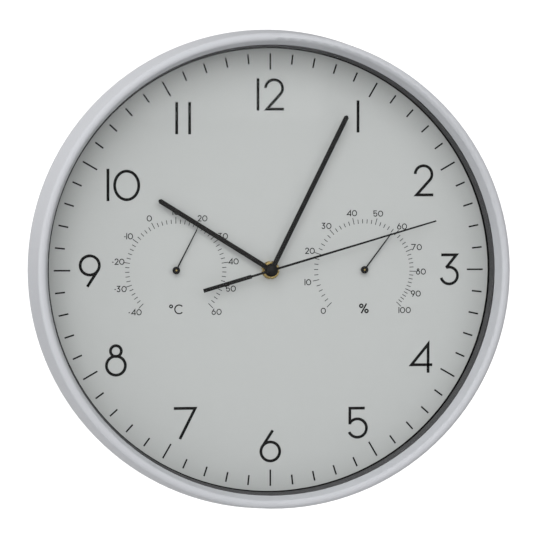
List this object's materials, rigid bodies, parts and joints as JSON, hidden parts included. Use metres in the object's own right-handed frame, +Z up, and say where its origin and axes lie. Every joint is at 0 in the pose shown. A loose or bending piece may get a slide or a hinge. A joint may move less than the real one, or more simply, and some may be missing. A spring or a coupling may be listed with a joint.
{
  "type": "wall clock with thermometer and hygrometer",
  "caption": "Round wall clock with a deep plastic rim, flat glass, quartz movement with geared hands, and thermometer and hygrometer pointers on small scales on its dial.",
  "frame": {"origin": "on the wall plane, where the shank of the wall screw sits at the top of the keyhole's slot", "axes": "+Y into the wall, so the dial faces -Y; +Z up, towards twelve o'clock; +X towards three o'clock"},
  "size_m": [0.3, 0.052, 0.3],
  "materials": {
    "rim_plastic": "satin light grey moulding",
    "lens_glass": "clear flat glass",
    "ring_plastic": "black moulding",
    "dial_print": "pale grey printed sheet",
    "board_plastic": "grey moulding",
    "steel": "zinc plated",
    "brass": "turned",
    "hand_black": "black lacquer",
    "movement_plastic": "black moulding",
    "wheel_plastic": "white moulding",
    "knob_plastic": "black moulding",
    "magnet": "dark ground magnet",
    "soft_iron": "stamped",
    "copper_wire": "enamelled copper wire",
    "circuit": "phenolic board",
    "bright_can": "drawn can",
    "chip_resin": "black resin",
    "cell_jacket": "plain coloured jacket",
    "spring_steel": "nickel plated",
    "washer_rubber": "soft rubber",
    "coil_bimetal": "rolled strip",
    "frame_metal": "stamped"
  },
  "bodies": {
    "case": {"case_rim": "rim_plastic", "lens_glass": "lens_glass", "spacer_ring": "ring_plastic", "dial_sheet": "dial_print", "dial_board": "board_plastic", "rim_screws": "steel", "hanger_bracket": "steel", "hanger_screws": "steel", "cushion_washer": "washer_rubber", "dial_nut": "brass", "mounting_bush": "brass", "movement_case": "movement_plastic", "movement_cover": "movement_plastic", "middle_plate": "movement_plastic", "stator": "soft_iron", "coil_core": "soft_iron", "coil_bobbin": "movement_plastic", "coil_winding": "copper_wire", "circuit_board": "circuit", "quartz_crystal": "bright_can", "chip_blob": "chip_resin", "positive_contact": "spring_steel", "negative_contact": "spring_steel", "instrument_screws": "steel", "thermometer_frame": "frame_metal", "thermometer_coil": "coil_bimetal", "hygrometer_frame": "frame_metal", "hygrometer_coil": "coil_bimetal"},
    "second_hand": {"second_wheel": "wheel_plastic", "second_hand": "hand_black", "second_hand_tube": "hand_black", "second_hand_cap": "hand_black"},
    "intermediate_wheel": {"intermediate_wheel": "wheel_plastic"},
    "rotor": {"rotor_pinion": "wheel_plastic", "rotor_magnet": "magnet"},
    "third_wheel": {"third_wheel": "wheel_plastic"},
    "centre_wheel": {"centre_wheel": "wheel_plastic"},
    "minute_hand": {"minute_arbor": "wheel_plastic", "minute_hand": "hand_black", "minute_hand_collet": "hand_black"},
    "motion_wheel": {"motion_wheel": "wheel_plastic"},
    "hour_hand": {"hour_wheel": "wheel_plastic", "hour_hand": "hand_black", "hour_hand_collet": "hand_black"},
    "set_knob": {"set_knob": "knob_plastic"},
    "thermometer_pointer": {"thermometer_arbor": "brass", "thermometer_pointer": "hand_black", "thermometer_hub": "hand_black"},
    "hygrometer_pointer": {"hygrometer_arbor": "brass", "hygrometer_pointer": "hand_black", "hygrometer_hub": "hand_black"},
    "battery": {"battery_cell": "cell_jacket"}
  },
  "joints": [
    {"name": "second_hand_turn", "type": "hinge", "parent": "case", "child": "second_hand", "pos_m": [0, -0.03, -0.11], "axis": [0, 1, 0], "continuous": true},
    {"name": "intermediate_wheel_turn", "type": "hinge", "parent": "case", "child": "intermediate_wheel", "pos_m": [0, -0.007, -0.09896], "axis": [0, 1, 0], "continuous": true},
    {"name": "rotor_turn", "type": "hinge", "parent": "case", "child": "rotor", "pos_m": [0.00217, -0.008, -0.09085], "axis": [0, 1, 0], "continuous": true},
    {"name": "third_wheel_turn", "type": "hinge", "parent": "case", "child": "third_wheel", "pos_m": [0.00986, -0.009, -0.1054], "axis": [0, 1, 0], "continuous": true},
    {"name": "centre_wheel_turn", "type": "hinge", "parent": "case", "child": "centre_wheel", "pos_m": [0, -0.0105, -0.11], "axis": [0, 1, 0], "continuous": true},
    {"name": "minute_hand_turn", "type": "hinge", "parent": "case", "child": "minute_hand", "pos_m": [0, -0.028, -0.11], "axis": [0, 1, 0], "continuous": true},
    {"name": "motion_wheel_turn", "type": "hinge", "parent": "case", "child": "motion_wheel", "pos_m": [-0.00866, -0.014, -0.105], "axis": [0, 1, 0], "continuous": true},
    {"name": "hour_hand_turn", "type": "hinge", "parent": "case", "child": "hour_hand", "pos_m": [0, -0.026, -0.11], "axis": [0, 1, 0], "continuous": true},
    {"name": "set_knob_turn", "type": "hinge", "parent": "case", "child": "set_knob", "pos_m": [-0.01366, -0.002, -0.09634], "axis": [0, 1, 0], "continuous": true},
    {"name": "thermometer_turn", "type": "hinge", "parent": "case", "child": "thermometer_pointer", "pos_m": [-0.059, -0.024, -0.11], "axis": [0, 1, 0], "range_deg": [-162.7, 108.5], "stiffness_Nm_per_rad": 0.0005},
    {"name": "hygrometer_turn", "type": "hinge", "parent": "case", "child": "hygrometer_pointer", "pos_m": [0.059, -0.024, -0.11], "axis": [0, 1, 0], "range_deg": [-171.7, 97.6], "stiffness_Nm_per_rad": 0.0005},
    {"name": "battery_slide", "type": "slide", "parent": "case", "child": "battery", "axis": [0, 1, 0], "range_m": [0, 0.02]}
  ],
  "couplings": [
    {"joint": "intermediate_wheel_turn", "follows": "second_hand_turn", "ratio": -5},
    {"joint": "rotor_turn", "follows": "second_hand_turn", "ratio": 30},
    {"joint": "third_wheel_turn", "follows": "second_hand_turn", "ratio": -0.13333},
    {"joint": "centre_wheel_turn", "follows": "second_hand_turn", "ratio": 0.016667},
    {"joint": "motion_wheel_turn", "follows": "minute_hand_turn", "ratio": -0.33333},
    {"joint": "hour_hand_turn", "follows": "minute_hand_turn", "ratio": 0.083333},
    {"joint": "set_knob_turn", "follows": "minute_hand_turn", "ratio": 1}
  ]
}
